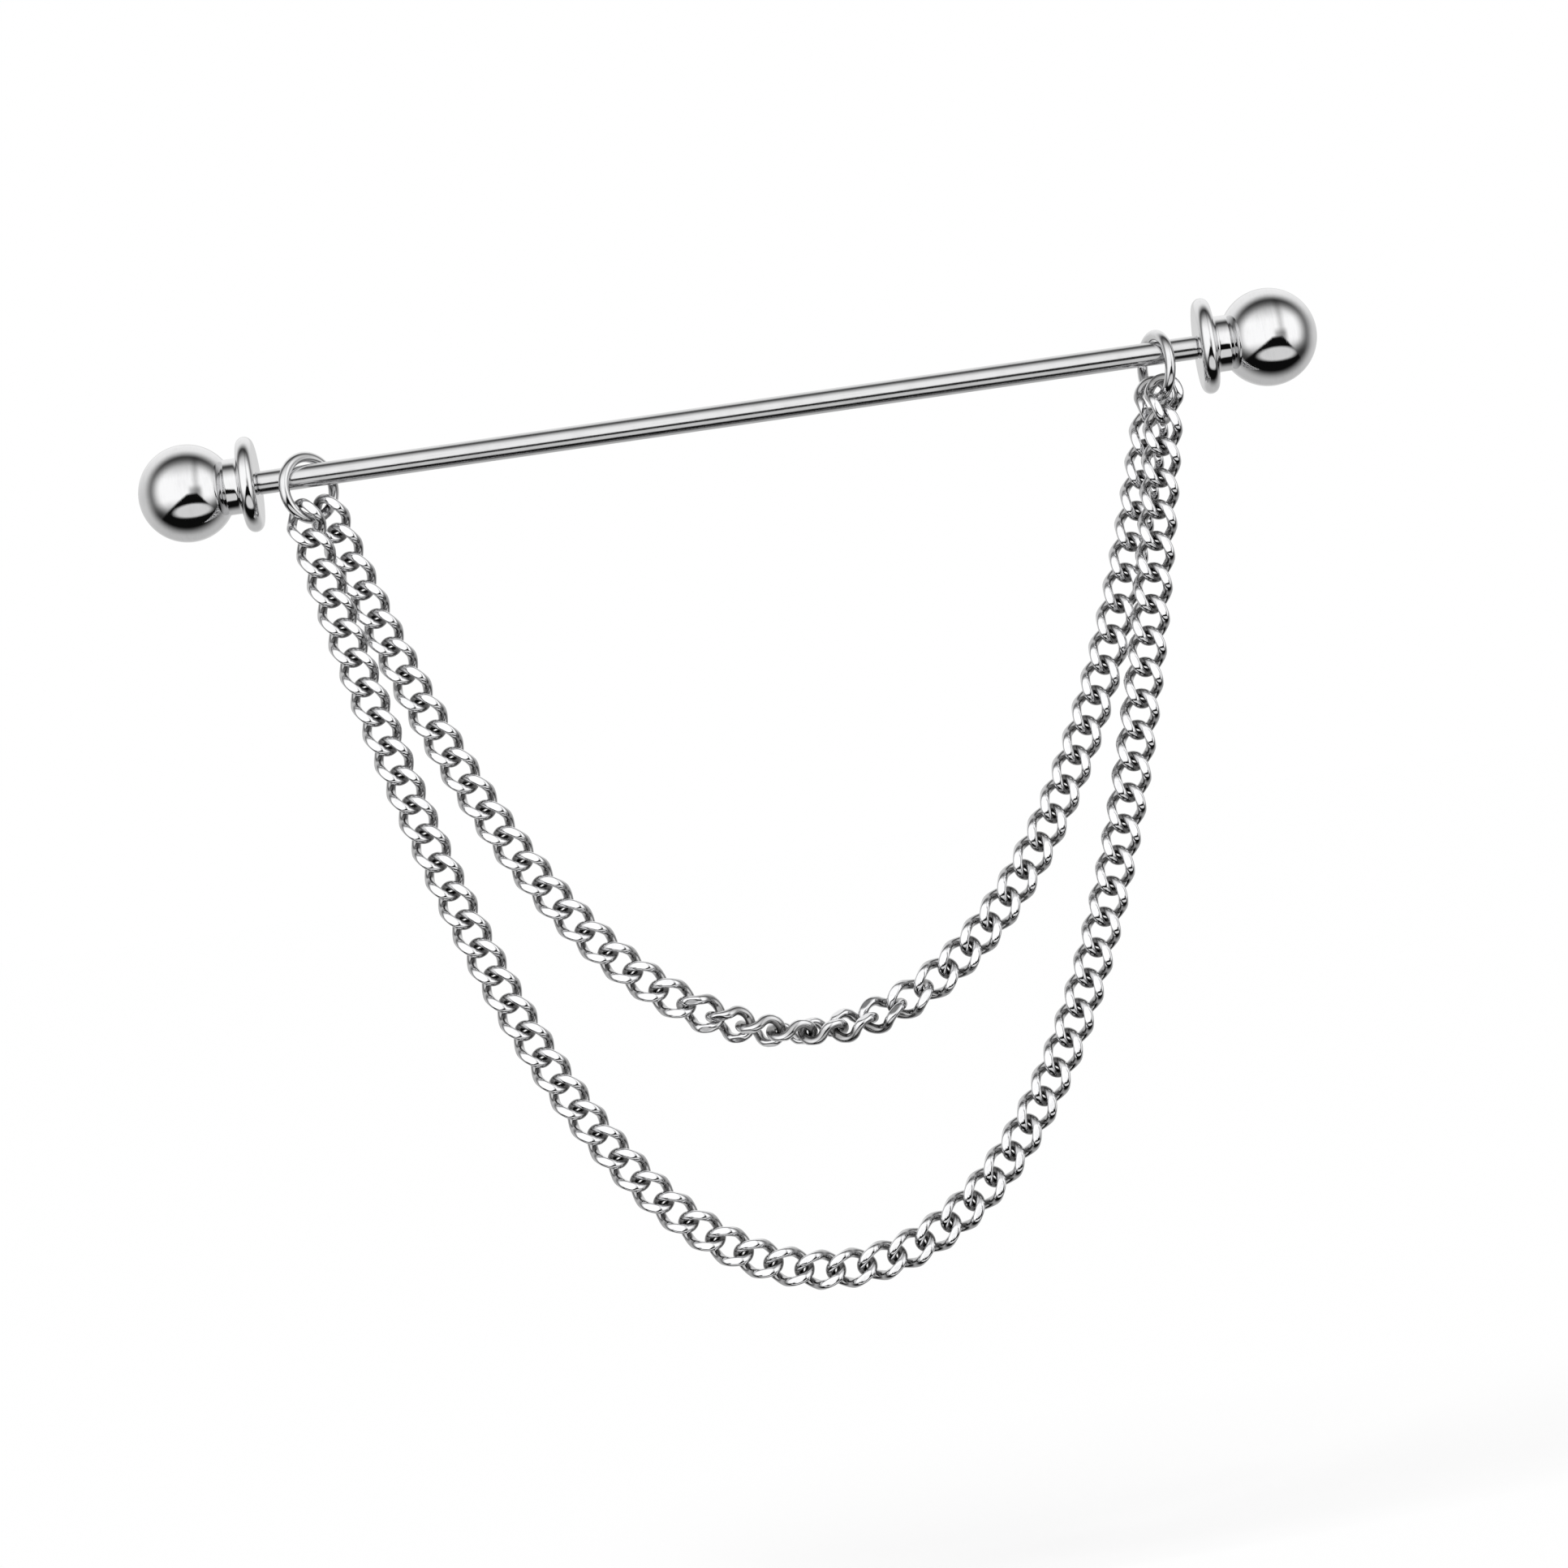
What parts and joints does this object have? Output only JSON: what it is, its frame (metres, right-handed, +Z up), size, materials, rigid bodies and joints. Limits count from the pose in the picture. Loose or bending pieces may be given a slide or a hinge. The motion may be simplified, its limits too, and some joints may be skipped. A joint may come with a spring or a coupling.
{
  "type": "collar bar",
  "caption": "Straight bar with a ball and flange at each end, worn through a collar, with a long and a short curb chain hanging from jump rings.",
  "frame": {"origin": "centre of the rod, midway between the two flange faces", "axes": "+X along the rod towards the end piece that comes off, +Z up away from the hanging chains, -Y towards the viewer of the picture"},
  "size_m": [0.0606, 0.005, 0.0474],
  "materials": {
    "steel": "polished"
  },
  "bodies": {
    "bar": {"rod": "steel", "finial_left": "steel"},
    "right_end": {"finial_right": "steel"},
    "left_ring": {"ring_left": "steel"},
    "right_ring": {"ring_right": "steel"},
    "outer_01": {"outer_01": "steel"},
    "outer_02": {"outer_02": "steel"},
    "outer_03": {"outer_03": "steel"},
    "outer_04": {"outer_04": "steel"},
    "outer_05": {"outer_05": "steel"},
    "outer_06": {"outer_06": "steel"},
    "outer_07": {"outer_07": "steel"},
    "outer_08": {"outer_08": "steel"},
    "outer_09": {"outer_09": "steel"},
    "outer_10": {"outer_10": "steel"},
    "outer_11": {"outer_11": "steel"},
    "outer_12": {"outer_12": "steel"},
    "outer_13": {"outer_13": "steel"},
    "outer_14": {"outer_14": "steel"},
    "outer_15": {"outer_15": "steel"},
    "outer_16": {"outer_16": "steel"},
    "outer_17": {"outer_17": "steel"},
    "outer_18": {"outer_18": "steel"},
    "outer_19": {"outer_19": "steel"},
    "outer_20": {"outer_20": "steel"},
    "outer_21": {"outer_21": "steel"},
    "outer_22": {"outer_22": "steel"},
    "outer_23": {"outer_23": "steel"},
    "outer_24": {"outer_24": "steel"},
    "outer_25": {"outer_25": "steel"},
    "outer_26": {"outer_26": "steel"},
    "outer_27": {"outer_27": "steel"},
    "outer_28": {"outer_28": "steel"},
    "outer_bottom": {"outer_bottom": "steel"},
    "inner_01": {"inner_01": "steel"},
    "inner_02": {"inner_02": "steel"},
    "inner_03": {"inner_03": "steel"},
    "inner_04": {"inner_04": "steel"},
    "inner_05": {"inner_05": "steel"},
    "inner_06": {"inner_06": "steel"},
    "inner_07": {"inner_07": "steel"},
    "inner_08": {"inner_08": "steel"},
    "inner_09": {"inner_09": "steel"},
    "inner_10": {"inner_10": "steel"},
    "inner_11": {"inner_11": "steel"},
    "inner_12": {"inner_12": "steel"},
    "inner_13": {"inner_13": "steel"},
    "inner_14": {"inner_14": "steel"},
    "inner_15": {"inner_15": "steel"},
    "inner_16": {"inner_16": "steel"},
    "inner_17": {"inner_17": "steel"},
    "inner_18": {"inner_18": "steel"},
    "inner_19": {"inner_19": "steel"},
    "inner_20": {"inner_20": "steel"},
    "inner_bottom": {"inner_bottom": "steel"}
  },
  "joints": [
    {"name": "right_end_slide", "type": "slide", "parent": "bar", "child": "right_end", "axis": [1, 0, 0], "range_m": [0, 0.012]},
    {"name": "left_ring_turn", "type": "hinge", "parent": "bar", "child": "left_ring", "pos_m": [-0.02168, 0, 0], "axis": [1, 0, 0], "range_deg": [-90, 90]},
    {"name": "right_ring_turn", "type": "hinge", "parent": "left_ring", "child": "right_ring", "pos_m": [0.022, 0, 0], "axis": [1, 0, 0], "range_deg": [-2, 2]},
    {"name": "outer_01_swing", "type": "hinge", "parent": "left_ring", "child": "outer_01", "pos_m": [-0.02211, -0.00051, -0.00205], "axis": [1, -0.0017, -0.0025], "range_deg": [-8, 0]},
    {"name": "outer_02_swing", "type": "hinge", "parent": "outer_01", "child": "outer_02", "pos_m": [-0.0219, -0.00068, -0.00321], "axis": [1, 0, 0.0005], "range_deg": [-8, 0]},
    {"name": "outer_03_swing", "type": "hinge", "parent": "outer_02", "child": "outer_03", "pos_m": [-0.02159, -0.00068, -0.00479], "axis": [1, 0, 0.0005], "range_deg": [-8, 0]},
    {"name": "outer_04_swing", "type": "hinge", "parent": "outer_03", "child": "outer_04", "pos_m": [-0.02128, -0.00068, -0.00637], "axis": [1, 0, 0.0005], "range_deg": [-8, 0]},
    {"name": "outer_05_swing", "type": "hinge", "parent": "outer_04", "child": "outer_05", "pos_m": [-0.02096, -0.00068, -0.00795], "axis": [1, 0, 0.0005], "range_deg": [-8, 0]},
    {"name": "outer_06_swing", "type": "hinge", "parent": "outer_05", "child": "outer_06", "pos_m": [-0.02062, -0.00068, -0.00952], "axis": [1, 0, 0.0005], "range_deg": [-8, 0]},
    {"name": "outer_07_swing", "type": "hinge", "parent": "outer_06", "child": "outer_07", "pos_m": [-0.02028, -0.00068, -0.01109], "axis": [1, 0, 0.0005], "range_deg": [-8, 0]},
    {"name": "outer_08_swing", "type": "hinge", "parent": "outer_07", "child": "outer_08", "pos_m": [-0.01992, -0.00068, -0.01266], "axis": [1, 0, 0.0005], "range_deg": [-8, 0]},
    {"name": "outer_09_swing", "type": "hinge", "parent": "outer_08", "child": "outer_09", "pos_m": [-0.01954, -0.00068, -0.01423], "axis": [1, 0, 0.0005], "range_deg": [-8, 8]},
    {"name": "outer_10_swing", "type": "hinge", "parent": "outer_09", "child": "outer_10", "pos_m": [-0.01915, -0.00068, -0.01579], "axis": [1, 0, 0.0005], "range_deg": [-8, 8]},
    {"name": "outer_11_swing", "type": "hinge", "parent": "outer_10", "child": "outer_11", "pos_m": [-0.01874, -0.00068, -0.01735], "axis": [1, 0, 0.0005], "range_deg": [-8, 8]},
    {"name": "outer_12_swing", "type": "hinge", "parent": "outer_11", "child": "outer_12", "pos_m": [-0.01832, -0.00068, -0.0189], "axis": [1, 0, 0.0005], "range_deg": [-8, 8]},
    {"name": "outer_13_swing", "type": "hinge", "parent": "outer_12", "child": "outer_13", "pos_m": [-0.01788, -0.00068, -0.02045], "axis": [1, 0, 0.0005], "range_deg": [-8, 8]},
    {"name": "outer_14_swing", "type": "hinge", "parent": "outer_13", "child": "outer_14", "pos_m": [-0.01741, -0.00068, -0.02199], "axis": [1, 0, 0.0006], "range_deg": [-8, 8]},
    {"name": "outer_15_swing", "type": "hinge", "parent": "outer_14", "child": "outer_15", "pos_m": [-0.01692, -0.00068, -0.02353], "axis": [1, 0, 0.0006], "range_deg": [-8, 8]},
    {"name": "outer_16_swing", "type": "hinge", "parent": "outer_15", "child": "outer_16", "pos_m": [-0.01641, -0.00068, -0.02505], "axis": [1, 0, 0.0006], "range_deg": [-8, 8]},
    {"name": "outer_17_swing", "type": "hinge", "parent": "outer_16", "child": "outer_17", "pos_m": [-0.01586, -0.00068, -0.02657], "axis": [1, 0, 0.0006], "range_deg": [-8, 8]},
    {"name": "outer_18_swing", "type": "hinge", "parent": "outer_17", "child": "outer_18", "pos_m": [-0.01529, -0.00068, -0.02807], "axis": [1, 0, 0.0006], "range_deg": [-8, 8]},
    {"name": "outer_19_swing", "type": "hinge", "parent": "outer_18", "child": "outer_19", "pos_m": [-0.01467, -0.00068, -0.02956], "axis": [1, 0, 0.0006], "range_deg": [-8, 8]},
    {"name": "outer_20_swing", "type": "hinge", "parent": "outer_19", "child": "outer_20", "pos_m": [-0.01402, -0.00068, -0.03103], "axis": [1, 0, 0.0007], "range_deg": [-8, 8]},
    {"name": "outer_21_swing", "type": "hinge", "parent": "outer_20", "child": "outer_21", "pos_m": [-0.01333, -0.00068, -0.03248], "axis": [1, 0, 0.0007], "range_deg": [-8, 8]},
    {"name": "outer_22_swing", "type": "hinge", "parent": "outer_21", "child": "outer_22", "pos_m": [-0.01258, -0.00068, -0.03391], "axis": [1, 0, 0.0007], "range_deg": [-8, 8]},
    {"name": "outer_23_swing", "type": "hinge", "parent": "outer_22", "child": "outer_23", "pos_m": [-0.01178, -0.00068, -0.03531], "axis": [1, 0, 0.0007], "range_deg": [-8, 8]},
    {"name": "outer_24_swing", "type": "hinge", "parent": "outer_23", "child": "outer_24", "pos_m": [-0.01092, -0.00068, -0.03666], "axis": [1, 0, 0.0008], "range_deg": [-8, 8]},
    {"name": "outer_25_swing", "type": "hinge", "parent": "outer_24", "child": "outer_25", "pos_m": [-0.00998, -0.00068, -0.03797], "axis": [1, 0, 0.0008], "range_deg": [-8, 8]},
    {"name": "outer_26_swing", "type": "hinge", "parent": "outer_25", "child": "outer_26", "pos_m": [-0.00895, -0.00068, -0.03921], "axis": [1, 0, 0.0008], "range_deg": [-8, 8]},
    {"name": "outer_27_swing", "type": "hinge", "parent": "outer_26", "child": "outer_27", "pos_m": [-0.00784, -0.00068, -0.04038], "axis": [1, 0, 0.0009], "range_deg": [-8, 8]},
    {"name": "outer_28_swing", "type": "hinge", "parent": "outer_27", "child": "outer_28", "pos_m": [-0.00663, -0.00068, -0.04143], "axis": [1, 0, 0.0009], "range_deg": [-8, 8]},
    {"name": "outer_bottom_swing", "type": "hinge", "parent": "outer_28", "child": "outer_bottom", "pos_m": [-0.0053, -0.00068, -0.04235], "axis": [1, 0, 0.001], "range_deg": [-8, 8]},
    {"name": "inner_01_swing", "type": "hinge", "parent": "left_ring", "child": "inner_01", "pos_m": [-0.02097, 0.0006, -0.0019], "axis": [1, -0.0015, -0.0059], "range_deg": [0, 8]},
    {"name": "inner_02_swing", "type": "hinge", "parent": "inner_01", "child": "inner_02", "pos_m": [-0.02065, 0.00068, -0.00305], "axis": [1, 0, -0.0026], "range_deg": [0, 8]},
    {"name": "inner_03_swing", "type": "hinge", "parent": "inner_02", "child": "inner_03", "pos_m": [-0.02021, 0.00068, -0.0046], "axis": [1, 0, -0.0026], "range_deg": [0, 8]},
    {"name": "inner_04_swing", "type": "hinge", "parent": "inner_03", "child": "inner_04", "pos_m": [-0.01975, 0.00068, -0.00614], "axis": [1, 0, -0.0027], "range_deg": [0, 8]},
    {"name": "inner_05_swing", "type": "hinge", "parent": "inner_04", "child": "inner_05", "pos_m": [-0.01927, 0.00068, -0.00767], "axis": [1, 0, -0.0027], "range_deg": [0, 8]},
    {"name": "inner_06_swing", "type": "hinge", "parent": "inner_05", "child": "inner_06", "pos_m": [-0.01877, 0.00068, -0.0092], "axis": [1, 0, -0.0028], "range_deg": [0, 8]},
    {"name": "inner_07_swing", "type": "hinge", "parent": "inner_06", "child": "inner_07", "pos_m": [-0.01824, 0.00068, -0.01073], "axis": [1, 0, -0.0029], "range_deg": [0, 8]},
    {"name": "inner_08_swing", "type": "hinge", "parent": "inner_07", "child": "inner_08", "pos_m": [-0.01769, 0.00068, -0.01224], "axis": [1, 0, -0.0029], "range_deg": [0, 8]},
    {"name": "inner_09_swing", "type": "hinge", "parent": "inner_08", "child": "inner_09", "pos_m": [-0.01711, 0.00068, -0.01374], "axis": [1, 0, -0.003], "range_deg": [-8, 8]},
    {"name": "inner_10_swing", "type": "hinge", "parent": "inner_09", "child": "inner_10", "pos_m": [-0.0165, 0.00068, -0.01523], "axis": [1, 0, -0.0031], "range_deg": [-8, 8]},
    {"name": "inner_11_swing", "type": "hinge", "parent": "inner_10", "child": "inner_11", "pos_m": [-0.01585, 0.00068, -0.0167], "axis": [1, 0, -0.0032], "range_deg": [-8, 8]},
    {"name": "inner_12_swing", "type": "hinge", "parent": "inner_11", "child": "inner_12", "pos_m": [-0.01517, 0.00068, -0.01816], "axis": [1, 0, -0.0033], "range_deg": [-8, 8]},
    {"name": "inner_13_swing", "type": "hinge", "parent": "inner_12", "child": "inner_13", "pos_m": [-0.01444, 0.00068, -0.0196], "axis": [1, 0, -0.0034], "range_deg": [-8, 8]},
    {"name": "inner_14_swing", "type": "hinge", "parent": "inner_13", "child": "inner_14", "pos_m": [-0.01367, 0.00068, -0.02101], "axis": [1, 0, -0.0035], "range_deg": [-8, 8]},
    {"name": "inner_15_swing", "type": "hinge", "parent": "inner_14", "child": "inner_15", "pos_m": [-0.01285, 0.00068, -0.02239], "axis": [1, 0, -0.0036], "range_deg": [-8, 8]},
    {"name": "inner_16_swing", "type": "hinge", "parent": "inner_15", "child": "inner_16", "pos_m": [-0.01196, 0.00068, -0.02374], "axis": [1, 0, -0.0038], "range_deg": [-8, 8]},
    {"name": "inner_17_swing", "type": "hinge", "parent": "inner_16", "child": "inner_17", "pos_m": [-0.01102, 0.00068, -0.02504], "axis": [1, 0, -0.0039], "range_deg": [-8, 8]},
    {"name": "inner_18_swing", "type": "hinge", "parent": "inner_17", "child": "inner_18", "pos_m": [-0.01, 0.00068, -0.02629], "axis": [1, 0, -0.0041], "range_deg": [-8, 8]},
    {"name": "inner_19_swing", "type": "hinge", "parent": "inner_18", "child": "inner_19", "pos_m": [-0.0089, 0.00068, -0.02746], "axis": [1, 0, -0.0043], "range_deg": [-8, 8]},
    {"name": "inner_20_swing", "type": "hinge", "parent": "inner_19", "child": "inner_20", "pos_m": [-0.00771, 0.00068, -0.02855], "axis": [1, 0, -0.0045], "range_deg": [-8, 8]},
    {"name": "inner_bottom_swing", "type": "hinge", "parent": "inner_20", "child": "inner_bottom", "pos_m": [-0.00643, 0.00068, -0.02953], "axis": [1, 0, -0.0047], "range_deg": [-8, 8]}
  ]
}
